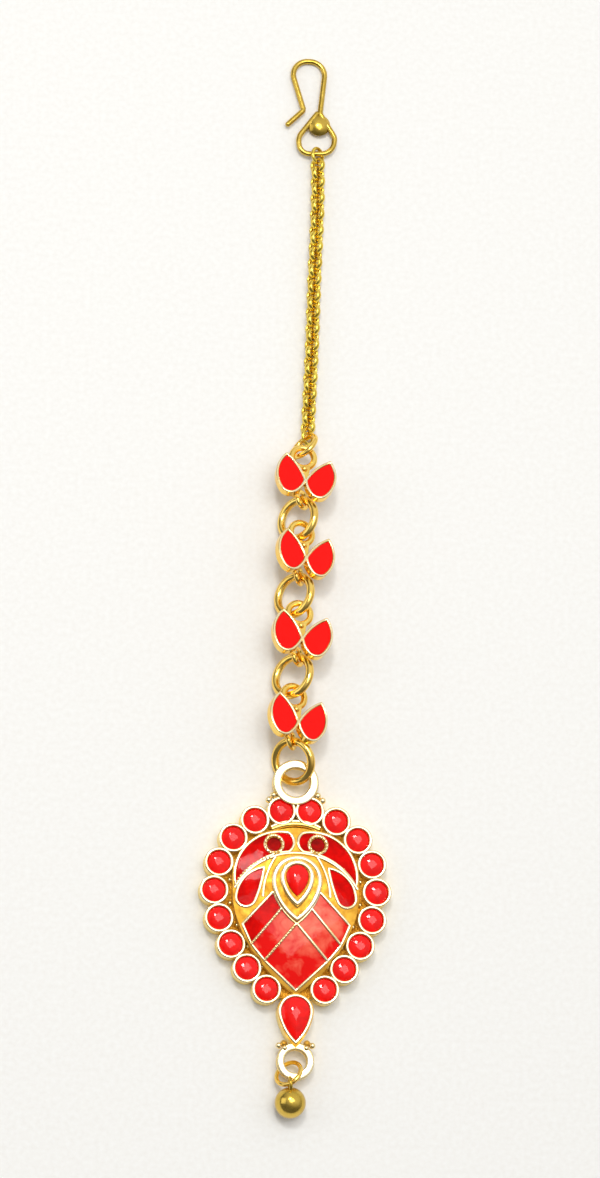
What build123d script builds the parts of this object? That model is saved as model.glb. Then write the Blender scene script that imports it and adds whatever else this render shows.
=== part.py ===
"""A maang tikka lying on its back: hook, chain, butterfly links, pendant and ball drop.

The strand runs along Y, the hook at +Y and the ball drop at -Y, and everything lies on
the plane Z = 0. The origin is on that plane, under the middle of the strand's length
and under the pendant's own centre line. Sizes are in millimetres.
"""

from build123d import *
from math import cos, radians, sin
import os

os.makedirs("parts", exist_ok=True)

# ---------------------------------------------------------------- driving dimensions
FIT = 0.04  # gap between a piece of enamel and the metal round it

# pendant plate
PLATE_THICK = 1.1  # recessed ground between the cups
RIM_TOP = 2.2  # height of the cup rims
HEAD_Y = -40.95  # centre of the round upper part of the ring of cups
HEAD_R = 10.2  # radius of that upper part
HEAD_SWEEP = 110.0  # angle of it on each side, from the top
FLANK_R = 22.0  # radius of the straighter lower sides
FLANK_SWEEP = 32.0
CUP_COUNT = 9  # cups on each side
CUP_PITCH = 3.57  # distance between neighbouring cups
CUP_R = 1.82  # rim outside
CUP_ENAMEL_R = 1.46  # rim inside
CUP_DEPTH = 0.5
CUP_CROWN = 2.26  # top of the domed enamel
CUP_DOME_R = 4.0  # radius of that dome
RIM_ROUND = 0.12  # rounding of the rims' edges

TOP_RING_Y = -27.3
TOP_RING_R = 2.9
TOP_RING_HOLE_R = 1.8
TOP_RING_Z = (1.25, 2.35)
BOTTOM_RING_Y = -62.15
BOTTOM_RING_R = 2.35
BOTTOM_RING_HOLE_R = 1.4
BOTTOM_RING_Z = (1.0, 2.0)
GRANULE_R = 0.45
GRANULES = [(-2.75, -29.25), (2.75, -29.25), (-1.45, -59.95), (1.45, -59.95)]

# domed motif in the middle of the pendant
DOME_R = 45.0
DOME_TOP = 3.3
DOME_Y = -43.0
FIELD_DEPTH = 0.4  # how far the floor of an enamel field is sunk under the dome
FIELD_RISE = 0.08  # how far the enamel's face stays under the gold lines
LINE_HALF = 0.11  # half the width of a gold line between two fields
EYE = (2.75, -35.2)
EYE_R = 1.25
EYE_ENAMEL_R = 0.9

# teardrop cup under the motif, point down
TAIL_Y = -56.0
TAIL_R = 2.25
TAIL_REACH = 4.5
TAIL_WALL = 0.38
TAIL_DEPTH = 0.5

# three steps of the drop in the middle of the motif, point down: y, radius, reach, top
HEART = (-39.9, 3.1, 5.24, 3.72)
HEART_MARGIN = 0.1  # gold kept between the heart and the fields beside it
CROWN = (-39.5, 2.15, 3.9, 4.0)
SEED = (-39.4, 1.48, 2.6, 4.0)
SEED_DEPTH = 0.5

# butterfly link, in its own frame: the cups meet at the origin, the eyelet is on +Y
WING_SIDES = [  # right cup: start, middle and end of each side, from where the cups meet
    ((-0.08, -0.05), (1.1, 1.9), (2.85, 3.4)),
    ((2.85, 3.4), (3.9, 0.6), (3.0, -1.75)),
    ((3.0, -1.75), (1.95, -2.3), (0.9, -1.9)),
    ((0.9, -1.9), (0.25, -1.05), (-0.08, -0.05)),
]
WING_SKEW = -10.0  # the pair of cups is turned by this angle about the link's axis
WING_WALL = 0.3
WING_BACK = -0.15
WING_FACE = 0.9
WING_DEPTH = 0.4
NECK_THICK = 0.6
NECK_HALF = 0.35
EYELET_Y = 3.6
EYELET_R = 1.45
EYELET_WIRE_R = 0.42
NECK_GRANULE_Y = 1.75
NECK_GRANULE_R = 0.4
TAB_Y = -1.5  # small soldered loop behind the cups, turned half on its side
TAB_Z = -1.8
TAB_R = 1.05
TAB_WIRE_R = 0.32
TAB_TURN = 45.0
TAB_POST_R = 0.35
TAB_POST = 1.43

# where each link lies: x, y, z of its origin, then pitch, roll and turn in degrees
LINKS = {
    "butterfly_1": (0.85, 10.95, 4.1, 14.4, 4.6, 0.0),
    "butterfly_2": (0.75, 0.95, 4.2, 12.0, 17.0, 0.0),
    "butterfly_3": (0.35, -9.5, 4.4, 12.0, 8.0, 0.0),
    "butterfly_4": (-0.25, -20.2, 4.4, 12.0, 17.0, 0.0),
}

# where each heavy ring between the links lies: x, y, z, then dip, tilt and turn
RING_R = 2.6
RING_WIRE_R = 0.52
RINGS = {
    "connector_ring_1": (0.20, 6.53, 2.68, 5.6, 43.9, -5.1),
    "connector_ring_2": (-0.26, -3.41, 2.73, 4.1, 45.4, -8.9),
    "connector_ring_3": (-0.49, -13.85, 2.97, 13.0, 42.4, -2.6),
    "connector_ring_4": (-0.34, -24.61, 2.25, -11.8, 40.7, 11.6),
}

# light rings at the ends of the strand, placed in the same way
CHAIN_RING = (1.09, 16.26, 2.1, 37.7, 60.0, -15.0)
CHAIN_RING_R = 1.8
CHAIN_RING_WIRE_R = 0.35
DROP_RING = (-0.83, -63.63, 1.78, 31.2, 40.5, -8.8)
DROP_RING_R = 1.65
DROP_RING_WIRE_R = 0.28

# chain of round links, each turned a quarter from the last
LINK_WIRE_R = 0.225
LINK_R = 0.846
END_LINK_R = 1.0  # the first and last link, which also hold a thicker wire
END_LINK_STEP = 1.288  # from the end link's centre to its neighbour's
LINK_COUNT = 35
LINK_LEAN = 45.0
LIFT = 0.01  # keeps the lowest links just off the surface
CHAIN_ROUTE = [(3.0, 55.71), (2.95, 47.5), (2.55, 38.5), (2.3, 31.0), (1.95, 23.5), (1.69, 17.88)]

# hook and its eye, one wire: the corners of its route, and the radius of each bend
HOOK_WIRE_R = 0.35
HOOK_FOOT = (0.0, 56.0, 0.9)  # the plane it lies in passes here and sinks towards +Y
HOOK_SINK = 2.2
SHANK_ROUTE = [
    (-0.87, 3.97),
    (1.2, 6.0),
    (-0.74, 12.84),
    (4.22, 12.84),
    (3.35, 5.6),
    (5.3, 2.3),
    (5.21, 1.8),
]
SHANK_BENDS = [0.5, 1.9, 1.9, 0.9, 1.2]
EYE_ROUTE = [SHANK_ROUTE[-1], (4.9, 0.05), (0.75, -0.05), (0.45, 2.2), (2.95, 5.55)]
EYE_BENDS = [1.8, 1.3, 1.8]
SOLDER_AT = (3.2, 4.0)  # domed blob of solder between the two wires
SOLDER_DOME_R = 2.1
SOLDER_SINK = 1.5  # how far each of its two domes' centres lies under the wires' plane

# ball drop, its eye turned up towards the ring
BALL_AT = (-0.65, -67.25)
BALL_R = 1.93
BALL_EYE_R = 0.8
BALL_EYE_WIRE_R = 0.22
BALL_EYE_REACH = 2.38  # from the ball's centre to the eye's
BALL_EYE_RISE = 22.6  # the eye points up by this angle, and sideways by the next
BALL_EYE_YAW = -3.1


ON_BASE = (Align.CENTER, Align.CENTER, Align.MIN)


def save(builder, name):
    """Write one finished piece under its own name."""
    builder.part.label = name
    export_step(builder.part, f"parts/{name}.step")


def lying_plane(at, pitch=0.0, roll=0.0, turn=0.0):
    """Plane at a point: +Y end down by pitch, -X side up by roll, turned about Z."""
    across = Vector(cos(radians(roll)), 0, -sin(radians(roll))).rotate(Axis.Z, turn)
    along = Vector(0, cos(radians(pitch)), -sin(radians(pitch))).rotate(Axis.Z, turn)
    return Plane(origin=at, x_dir=across, z_dir=across.cross(along))


def drop_face(radius, reach, shoulder=78.0):
    """Outline of a drop: a round end about the origin and a point on +Y."""
    side = radians(shoulder)
    right = (radius * sin(side), radius * cos(side))
    left = (-right[0], right[1])
    with BuildSketch() as drop:
        with BuildLine():
            ThreePointArc(left, (0, -radius), right)
            TangentArc(right, (0, reach), tangent=(-cos(side), sin(side)))
            TangentArc(left, (0, reach), tangent=(cos(side), sin(side)))
        make_face()
    return drop.sketch


# ---------------------------------------------------------------- pendant: cups
with BuildLine() as cup_line:
    upper = CenterArc((0, HEAD_Y), HEAD_R, 90, -HEAD_SWEEP)
    JernArc(upper @ 1, upper % 1, FLANK_R, -FLANK_SWEEP)
cup_wire = cup_line.wires()[0]
right_spots = [
    cup_wire.position_at(CUP_PITCH * (row + 0.5), position_mode=PositionMode.LENGTH)
    for row in range(CUP_COUNT)
]
left_spots = [Vector(-spot.X, spot.Y) for spot in reversed(right_spots)]
cup_spots = right_spots + left_spots  # clockwise from the top, seen from above


def make_cup():
    """One cup of the pendant before its well is cut: a round post with a rounded rim."""
    with BuildPart() as cup:
        Cylinder(CUP_R, RIM_TOP, align=ON_BASE)
        fillet(cup.edges().filter_by(GeomType.CIRCLE).group_by(Axis.Z)[-1], RIM_ROUND)
    return cup.part


def make_cup_well():
    """The space inside a cup, with a short flare at its mouth."""
    with BuildPart() as well:
        with Locations((0, 0, RIM_TOP - CUP_DEPTH)):
            Cylinder(CUP_ENAMEL_R, 2 * CUP_DEPTH, align=ON_BASE)
        with Locations((0, 0, RIM_TOP - RIM_ROUND)):
            Cone(CUP_ENAMEL_R, CUP_ENAMEL_R + CUP_DEPTH, CUP_DEPTH, align=ON_BASE)
    return well.part


def make_cup_enamel(spot):
    """Domed enamel of one cup: a low cap that stands just under the rim at its edge."""
    floor = RIM_TOP - CUP_DEPTH + FIT
    with BuildPart() as enamel:
        with Locations((spot.X, spot.Y, floor)):
            Cylinder(CUP_ENAMEL_R - FIT, CUP_DEPTH, align=ON_BASE)
        with Locations((spot.X, spot.Y, CUP_CROWN - CUP_DOME_R)):
            Sphere(CUP_DOME_R, mode=Mode.INTERSECT)
    return enamel.part


# ---------------------------------------------------------------- pendant: motif
def crescent_face():
    """Left crescent of the motif, its thick end at the top by the centre line."""
    with BuildSketch() as crescent:
        with BuildLine():
            ThreePointArc((-0.95, -33.8), (-5.4, -34.85), (-7.5, -40.15))
            ThreePointArc((-7.5, -40.15), (-4.8, -37.35), (-0.95, -36.05))
            ThreePointArc((-0.95, -36.05), (-0.36, -34.95), (-0.95, -33.8))
        make_face()
    return crescent.sketch


def petal_face():
    """Left petal under the crescent, its point up against the drop."""
    with BuildSketch() as petal:
        with BuildLine():
            ThreePointArc((-4.15, -38.3), (-6.5, -39.65), (-7.4, -42.0))
            ThreePointArc((-7.4, -42.0), (-6.45, -43.0), (-5.25, -42.3))
            ThreePointArc((-5.25, -42.3), (-4.6, -40.4), (-4.15, -38.3))
        make_face()
    return petal.sketch


def polygon_face(*corners):
    """Straight-sided field, drawn back from its corners by half a gold line."""
    with BuildSketch() as field:
        with BuildLine():
            Polyline(*corners, close=True)
        make_face()
        offset(amount=-LINE_HALF, kind=Kind.INTERSECTION)
    return field.sketch


def drop_sketch(step, shrink=0.0):
    """One step of the central drop, its point down, drawn back by a margin."""
    y, radius, reach, _ = step
    with BuildSketch() as drop:
        with Locations(Location((0, y), 180)):
            add(drop_face(radius - shrink, reach - 1.9 * shrink))
    return drop.sketch


def clear_of_heart(face):
    """The part of a field that lies outside the central drop."""
    with BuildSketch() as field:
        add(face)
        add(drop_sketch(HEART, -HEART_MARGIN), mode=Mode.SUBTRACT)
    return field.sketch


HEART_POINT = (0, HEART[0] - HEART[2])
BAND_INNER = (-1.65, -43.05)
BAND_OUTER = (-5.6, -47.75)
BAND_FOOT = (-3.95, -49.75)
upper_band = polygon_face((-2.95, -41.25), (-6.7, -45.3), BAND_OUTER, BAND_INNER)
lower_band = polygon_face(BAND_INNER, BAND_OUTER, BAND_FOOT, HEART_POINT)
diamond = polygon_face(HEART_POINT, BAND_FOOT, (0, -53.4), (-BAND_FOOT[0], BAND_FOOT[1]))

with BuildSketch() as eye_left:
    with Locations((-EYE[0], EYE[1])):
        Circle(EYE_ENAMEL_R)
with BuildSketch() as eye_ring:
    with Locations((-EYE[0], EYE[1])):
        Circle(EYE_R)
        Circle(EYE_ENAMEL_R, mode=Mode.SUBTRACT)
with BuildSketch() as crescent_cut:
    add(crescent_face())
    with Locations((-EYE[0], EYE[1])):
        Circle(EYE_R, mode=Mode.SUBTRACT)

LEFT_FIELDS = {
    "crescent": crescent_cut.sketch,
    "petal": petal_face(),
    "upper_band": clear_of_heart(upper_band),
    "lower_band": clear_of_heart(lower_band),
}
diamond_field = clear_of_heart(diamond)


def dome_layer(face, low, high, shrink=0.0):
    """Solid over an outline, between two shells sunk under the motif's dome."""
    with BuildPart() as layer:
        with BuildSketch(Plane.XY.offset(PLATE_THICK / 2)):
            add(face)
            if shrink:
                offset(amount=-shrink)
        extrude(amount=DOME_TOP + 1)
        with Locations((0, DOME_Y, DOME_TOP - DOME_R)):
            Sphere(DOME_R - high, mode=Mode.INTERSECT)
            if low is not None:
                Sphere(DOME_R - low, mode=Mode.SUBTRACT)
    return layer.part


def tail_sketch(shrink=0.0):
    """Outline of the teardrop cup, drawn back by a margin."""
    with BuildSketch() as tail:
        with Locations(Location((0, TAIL_Y), 180)):
            add(drop_face(TAIL_R - shrink, TAIL_REACH - 2.1 * shrink))
    return tail.sketch


# ---------------------------------------------------------------- pendant: plate
with BuildSketch() as ground:
    with BuildLine():
        add(cup_wire)
        mirror(cup_wire, about=Plane.YZ)
        Line(cup_wire @ 1, Vector(-(cup_wire @ 1).X, (cup_wire @ 1).Y))
    make_face()

with BuildSketch() as motif:
    with BuildLine():
        ThreePointArc((0, -33.0), (-1.0, -33.07), (-1.93, -33.27))
        ThreePointArc((-1.93, -33.27), (-6.2, -35.05), (-7.9, -40.2))
        ThreePointArc((-7.9, -40.2), (-7.85, -42.6), (-7.1, -45.4))
        ThreePointArc((-7.1, -45.4), (-4.35, -50.1), (0, -53.95))
        Line((0, -53.95), (0, -33.0))
    make_face()
    mirror(about=Plane.YZ)


def flat_ring(outer, hole, y, heights):
    """A cast ring with a flat face and rounded edges, lying at the given heights."""
    low, high = heights
    with BuildPart() as ring:
        with BuildSketch(Plane.XY.offset(low)):
            with Locations((0, y)):
                Circle(outer)
                Circle(hole, mode=Mode.SUBTRACT)
        extrude(amount=high - low)
        fillet(ring.edges().filter_by(GeomType.CIRCLE), 0.2)
    return ring.part


def step_layer(step, low):
    """One raised step of the central drop, with rounded edges."""
    top = step[3]
    with BuildPart() as layer:
        with BuildSketch(Plane.XY.offset(low)):
            add(drop_sketch(step))
        extrude(amount=top - low)
        chamfer(layer.edges().group_by(Axis.Z)[-1], 0.15)
    return layer.part


with BuildPart() as pendant:
    with BuildSketch():
        add(ground.sketch)
    extrude(amount=PLATE_THICK)
    with Locations(*cup_spots):
        add(make_cup())
    with BuildSketch():
        add(tail_sketch())
    extrude(amount=RIM_TOP)
    add(dome_layer(motif.sketch, None, 0.0))
    for face in LEFT_FIELDS.values():
        pocket = dome_layer(face, FIELD_DEPTH, -1.0)
        add(pocket, mode=Mode.SUBTRACT)
        add(mirror(pocket, about=Plane.YZ, mode=Mode.PRIVATE), mode=Mode.SUBTRACT)
    eye_pocket = dome_layer(eye_left.sketch, FIELD_DEPTH, -1.0)
    add(eye_pocket, mode=Mode.SUBTRACT)
    add(mirror(eye_pocket, about=Plane.YZ, mode=Mode.PRIVATE), mode=Mode.SUBTRACT)
    add(dome_layer(diamond_field, FIELD_DEPTH, -1.0), mode=Mode.SUBTRACT)
    add(step_layer(HEART, PLATE_THICK))
    add(step_layer(CROWN, PLATE_THICK))
    with BuildSketch(Plane.XY.offset(SEED[3])):
        add(drop_sketch(SEED))
    extrude(amount=-SEED_DEPTH, mode=Mode.SUBTRACT)
    with BuildSketch(Plane.XY.offset(RIM_TOP)):
        add(tail_sketch(TAIL_WALL))
    extrude(amount=-TAIL_DEPTH, mode=Mode.SUBTRACT)
    add(flat_ring(TOP_RING_R, TOP_RING_HOLE_R, TOP_RING_Y, TOP_RING_Z))
    add(flat_ring(BOTTOM_RING_R, BOTTOM_RING_HOLE_R, BOTTOM_RING_Y, BOTTOM_RING_Z))
    with Locations(*[(x, y, RIM_TOP - GRANULE_R) for x, y in GRANULES]):
        Sphere(GRANULE_R)
    with Locations(*cup_spots):
        add(make_cup_well(), mode=Mode.SUBTRACT)
save(pendant, "pendant")

for number, spot in enumerate(cup_spots, 1):
    with BuildPart() as cup_enamel:
        add(make_cup_enamel(spot))
    save(cup_enamel, f"cup_enamel_{number:02d}")


# ---------------------------------------------------------------- enamel of the motif
def make_field_enamel(face):
    """Enamel that fills a field of the dome, a little under the gold lines."""
    return dome_layer(face, FIELD_DEPTH - FIT, FIELD_RISE, shrink=FIT)


FIELD_ENAMEL = {"diamond": diamond_field, "eye_left": eye_left.sketch}
for field_name, face in LEFT_FIELDS.items():
    FIELD_ENAMEL[field_name + "_left"] = face

for field_name, face in FIELD_ENAMEL.items():
    with BuildPart() as field_enamel:
        add(make_field_enamel(face))
    save(field_enamel, field_name.replace("_left", "_enamel_left") if "_left" in field_name
         else field_name + "_enamel")
    if "_left" in field_name:
        with BuildPart() as mirrored:
            mirror(field_enamel.part, about=Plane.YZ)
        save(mirrored, field_name.replace("_left", "_enamel_right"))

with BuildPart() as drop_enamel:
    with BuildSketch(Plane.XY.offset(SEED[3] - SEED_DEPTH + FIT)):
        add(drop_sketch(SEED, FIT))
    extrude(amount=SEED_DEPTH + 0.02)
    fillet(drop_enamel.edges().group_by(Axis.Z)[-1], 0.2)
save(drop_enamel, "drop_enamel")

with BuildPart() as tail_enamel:
    with BuildSketch(Plane.XY.offset(RIM_TOP - TAIL_DEPTH + FIT)):
        add(tail_sketch(TAIL_WALL + FIT))
    extrude(amount=TAIL_DEPTH + 0.05)
    fillet(tail_enamel.edges().group_by(Axis.Z)[-1], 0.25)
save(tail_enamel, "tail_enamel")


# ---------------------------------------------------------------- butterfly links
def wing_sketch(side, shrink=0.0):
    """One cup of a link: side is 1 for the right cup and -1 for the left."""
    with BuildSketch() as wing:
        with BuildLine():
            for run in WING_SIDES:
                ThreePointArc(*[(side * x, y) for x, y in run])
        make_face()
        if shrink:
            offset(amount=-shrink, kind=Kind.INTERSECTION)
    return wing.sketch


def make_butterfly(plane):
    """Cast link: two cups, an eyelet on a short neck and a soldered loop behind."""
    skewed = Plane(plane * Location((0, 0, 0), (0, 0, WING_SKEW)))
    with BuildPart() as link:
        for side in (1, -1):
            with BuildSketch(skewed.offset(WING_BACK)):
                add(wing_sketch(side))
            extrude(amount=WING_FACE - WING_BACK)
            with BuildSketch(skewed.offset(WING_FACE)):
                add(wing_sketch(side, WING_WALL))
            extrude(amount=-WING_DEPTH, mode=Mode.SUBTRACT)
        with BuildSketch(plane.offset(WING_BACK)):
            with BuildLine():
                foot = EYELET_Y - EYELET_R
                Polyline((-0.8, foot), (0.8, foot), (NECK_HALF, 0.0), (-NECK_HALF, 0.0), close=True)
            make_face()
        extrude(amount=NECK_THICK)
        with Locations(plane * Location((0, EYELET_Y, 0))):
            Torus(EYELET_R, EYELET_WIRE_R)
        with Locations(plane * Location((0, NECK_GRANULE_Y, WING_BACK + NECK_THICK))):
            Sphere(NECK_GRANULE_R)
        tab = plane * Location((0, TAB_Y, TAB_Z), (0, TAB_TURN, 0))
        with Locations(tab):
            Torus(TAB_R, TAB_WIRE_R)
        with Locations(tab * Location((-TAB_R, 0, 0), (0, -90, 0))):
            Cylinder(TAB_POST_R, TAB_POST, align=ON_BASE)
    return link.part


def make_wing_enamel(plane, side):
    """Enamel of one cup of a link."""
    skewed = Plane(plane * Location((0, 0, 0), (0, 0, WING_SKEW)))
    with BuildPart() as enamel:
        with BuildSketch(skewed.offset(WING_FACE - WING_DEPTH + FIT)):
            add(wing_sketch(side, WING_WALL + FIT))
        extrude(amount=WING_DEPTH - FIT - 0.03)
    return enamel.part


for name, (x, y, z, pitch, roll, turn) in LINKS.items():
    link_plane = lying_plane((x, y, z), pitch, roll, turn)
    with BuildPart() as butterfly:
        add(make_butterfly(link_plane))
    save(butterfly, name)
    for side, word in ((-1, "left"), (1, "right")):
        with BuildPart() as wing_enamel:
            add(make_wing_enamel(link_plane, side))
        save(wing_enamel, name.replace("butterfly", "wing_enamel") + "_" + word)

# ---------------------------------------------------------------- rings
def lying_ring(place, radius, wire_radius):
    """Round wire ring at a place given as x, y, z, dip, tilt and turn."""
    x, y, z, dip, tilt, turn = place
    with BuildPart(lying_plane((x, y, z), dip, -tilt, turn)) as ring:
        Torus(radius, wire_radius)
    return ring


for name, place in RINGS.items():
    save(lying_ring(place, RING_R, RING_WIRE_R), name)
save(lying_ring(CHAIN_RING, CHAIN_RING_R, CHAIN_RING_WIRE_R), "chain_ring")
save(lying_ring(DROP_RING, DROP_RING_R, DROP_RING_WIRE_R), "drop_ring")

# ---------------------------------------------------------------- chain
chain_path = Spline(*CHAIN_ROUTE)
link_step = (chain_path.length - 2 * END_LINK_STEP) / (LINK_COUNT - 3)
stations = [END_LINK_STEP + link_step * n for n in range(LINK_COUNT - 2)]
stations = [0.0, *stations, chain_path.length]
with BuildPart() as chain:
    for number, station in enumerate(stations):
        centre = chain_path.position_at(station, position_mode=PositionMode.LENGTH)
        along = chain_path.tangent_at(station, position_mode=PositionMode.LENGTH)
        radius = END_LINK_R if number in (0, LINK_COUNT - 1) else LINK_R
        rise = LINK_WIRE_R + radius * sin(radians(LINK_LEAN)) + LIFT
        lean = LINK_LEAN if number % 2 else -LINK_LEAN
        normal = Vector(0, 0, 1).rotate(Axis((0, 0, 0), along), lean)
        with Locations(Plane(origin=centre + Vector(0, 0, rise), x_dir=along, z_dir=normal)):
            Torus(radius, LINK_WIRE_R)
save(chain, "chain")

# ---------------------------------------------------------------- hook
hook_plane = lying_plane(HOOK_FOOT, HOOK_SINK)
with BuildPart() as hook:
    for route, bends in ((SHANK_ROUTE, SHANK_BENDS), (EYE_ROUTE, EYE_BENDS)):
        with BuildLine(hook_plane) as wire:
            FilletPolyline(*route, radius=bends)
        with BuildSketch(Plane(origin=wire.line @ 0, z_dir=wire.line % 0)):
            Circle(HOOK_WIRE_R)
        sweep(path=wire.line)
    for end in (SHANK_ROUTE[0], EYE_ROUTE[-1]):
        with Locations(hook_plane * Location((*end, 0))):
            Sphere(HOOK_WIRE_R)
    with BuildPart(mode=Mode.PRIVATE) as solder:
        with Locations(hook_plane * Location((*SOLDER_AT, -SOLDER_SINK))):
            Sphere(SOLDER_DOME_R)
        with Locations(hook_plane * Location((*SOLDER_AT, SOLDER_SINK))):
            Sphere(SOLDER_DOME_R, mode=Mode.INTERSECT)
    add(solder.part)
save(hook, "hook")

# ---------------------------------------------------------------- ball drop
ball_centre = Vector(BALL_AT[0], BALL_AT[1], BALL_R + LIFT)
eye_way = Vector(0, 1, 0).rotate(Axis.X, BALL_EYE_RISE).rotate(Axis.Z, -BALL_EYE_YAW)
eye_axis = eye_way.cross(Vector(0, 0, 1)).normalized()
with BuildPart() as ball_drop:
    with Locations(ball_centre):
        Sphere(BALL_R)
    with Locations(
        Plane(origin=ball_centre + eye_way * BALL_EYE_REACH, x_dir=eye_way, z_dir=eye_axis)
    ):
        Torus(BALL_EYE_R, BALL_EYE_WIRE_R)
save(ball_drop, "ball_drop")
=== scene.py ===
"""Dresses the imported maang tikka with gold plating, cold enamel, raised lines, beads and granules.

It also sets a plain studio round it. The strand lies face up on the floor plane, its hook towards
+Y and its ball drop towards -Y. Sizes in the classes are in millimetres and become metres through
MM, except the studio's places and sizes, which are in metres.
"""

import logging
import math
from dataclasses import dataclass
from enum import Enum
from functools import cache
from typing import Any, Iterable, NamedTuple, Sequence

import bmesh
import bpy
import numpy as np
from mathutils import Matrix, Vector


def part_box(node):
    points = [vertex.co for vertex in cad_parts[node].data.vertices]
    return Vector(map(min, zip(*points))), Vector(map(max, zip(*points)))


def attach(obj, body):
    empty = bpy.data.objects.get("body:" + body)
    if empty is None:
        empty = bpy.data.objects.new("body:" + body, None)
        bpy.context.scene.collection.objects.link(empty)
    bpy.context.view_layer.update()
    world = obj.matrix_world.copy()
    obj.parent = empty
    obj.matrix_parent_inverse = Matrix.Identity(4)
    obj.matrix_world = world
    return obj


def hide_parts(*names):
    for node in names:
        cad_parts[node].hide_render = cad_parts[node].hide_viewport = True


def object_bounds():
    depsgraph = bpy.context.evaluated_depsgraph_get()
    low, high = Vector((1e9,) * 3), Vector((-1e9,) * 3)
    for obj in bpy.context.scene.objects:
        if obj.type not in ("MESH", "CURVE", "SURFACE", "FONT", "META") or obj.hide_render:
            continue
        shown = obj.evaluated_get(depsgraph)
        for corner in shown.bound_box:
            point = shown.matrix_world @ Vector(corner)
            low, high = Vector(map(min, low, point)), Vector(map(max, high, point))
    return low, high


MM = 0.001
ROOT = "root"
MERGE_DISTANCE = 1e-6  # metres within which the loose corners of a CAD mesh are one point
FACE_UP = 0.6  # least upward part of the normal on an enamel's face
LEAST_MITRE = 0.35  # keeps a line's corner at a sharp tip from running far out
SHARP_ANGLE = math.radians(40.0)  # at which two faces of a dome meet in an edge
Point = tuple[float, float]
Colour = tuple[float, float, float, float]

log = logging.getLogger("maang_tikka")
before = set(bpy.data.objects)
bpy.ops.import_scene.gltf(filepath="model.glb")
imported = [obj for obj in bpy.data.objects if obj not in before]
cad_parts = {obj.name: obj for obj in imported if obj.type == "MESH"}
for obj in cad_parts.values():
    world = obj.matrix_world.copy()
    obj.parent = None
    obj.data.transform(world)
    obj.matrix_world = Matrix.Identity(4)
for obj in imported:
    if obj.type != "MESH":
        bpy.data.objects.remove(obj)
CAD_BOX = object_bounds()


# ------------------------------------------------------------------ shared helpers
def linear(colour: str) -> Colour:
    """Turns an sRGB hex colour into linear values.

    Args:
        colour: six hex digits after a hash sign.

    Returns:
        Red, green, blue and an alpha of 1.
    """
    parts = (int(colour[i : i + 2], 16) / 255 for i in (1, 3, 5))
    red, green, blue = (p / 12.92 if p <= 0.04045 else ((p + 0.055) / 1.055) ** 2.4 for p in parts)
    return red, green, blue, 1.0


def add_node(
    tree: bpy.types.NodeTree,
    kind: str,
    settings: dict[str, Any] | None = None,
    sockets: dict[str | int, Any] | None = None,
    stops: Sequence[tuple[float, Colour]] = (),
) -> bpy.types.Node:
    """Adds one node with its settings, its input values, its links and its colour stops.

    Args:
        tree: the tree that receives the node.
        kind: the node's type name.
        settings: property names and values.
        sockets: input names or numbers, each with a value or an output socket to link from.
        stops: position and linear colour of each stop, for a colour ramp.

    Returns:
        The new node.
    """
    node = tree.nodes.new(kind)
    for name, value in (settings or {}).items():
        setattr(node, name, value)
    for key, value in (sockets or {}).items():
        if isinstance(value, bpy.types.NodeSocket):
            tree.links.new(value, node.inputs[key])
        else:
            node.inputs[key].default_value = value
    if stops:
        elements = node.color_ramp.elements
        while len(elements) < len(stops):
            elements.new(0.5)
        for element, (position, colour) in zip(elements, stops):
            element.position = position
            element.color = colour
    return node


def per_metre(size_mm: float) -> float:
    """Texture scale at which one feature of a pattern is about size_mm long."""
    return 1.0 / (size_mm * MM)


def blank_material(name: str) -> tuple[bpy.types.Material, bpy.types.NodeTree]:
    """Starts a node material.

    Args:
        name: the material's name.

    Returns:
        The material and its empty tree.
    """
    material = bpy.data.materials.new(name)
    material.use_nodes = True
    material.node_tree.nodes.clear()
    return material, material.node_tree


def dress(obj: bpy.types.Object, material: bpy.types.Material) -> None:
    """Gives an object one material, in all its slots.

    Args:
        obj: a mesh object.
        material: its finish.
    """
    if not obj.material_slots:
        obj.data.materials.append(material)
    for slot in obj.material_slots:
        slot.material = material


def dress_node(name: str, material: bpy.types.Material) -> None:
    """Gives a CAD node its finish; its mesh and shading stay the frame's own."""
    dress(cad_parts[name], material)


def settle(obj: bpy.types.Object, slot: str, *replaced: str) -> None:
    """Ties a finished piece to the frame.

    Args:
        obj: the piece, at the origin with its place in its mesh.
        slot: not used.
        replaced: CAD nodes that it stands for.
    """
    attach(obj, ROOT)
    if replaced:
        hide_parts(*replaced)
    log.info("%s: %d faces", obj.name, len(obj.data.polygons))


def polyline_object(
    name: str, runs: Sequence[Sequence[Vector]], closed: bool = False
) -> bpy.types.Object:
    """A curve object with one straight-sided spline for each run of points.

    Args:
        name: the object's name.
        runs: points in metres.
        closed: whether each run comes back to its start.

    Returns:
        The curve's object, linked to the scene.
    """
    curve = bpy.data.curves.new(name, "CURVE")
    curve.dimensions = "3D"
    for run in runs:
        spline = curve.splines.new("POLY")
        spline.points.add(len(run) - 1)
        for target, point in zip(spline.points, run):
            target.co = (*point, 1.0)
        spline.use_cyclic_u = closed
    obj = bpy.data.objects.new(name, curve)
    bpy.context.scene.collection.objects.link(obj)
    return obj


def mesh_object(name: str, mesh: bpy.types.Mesh) -> bpy.types.Object:
    """Links a mesh to the scene as an object at the origin.

    Args:
        name: the object's name.
        mesh: its mesh.

    Returns:
        The object.
    """
    obj = bpy.data.objects.new(name, mesh)
    bpy.context.scene.collection.objects.link(obj)
    return obj


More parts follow.
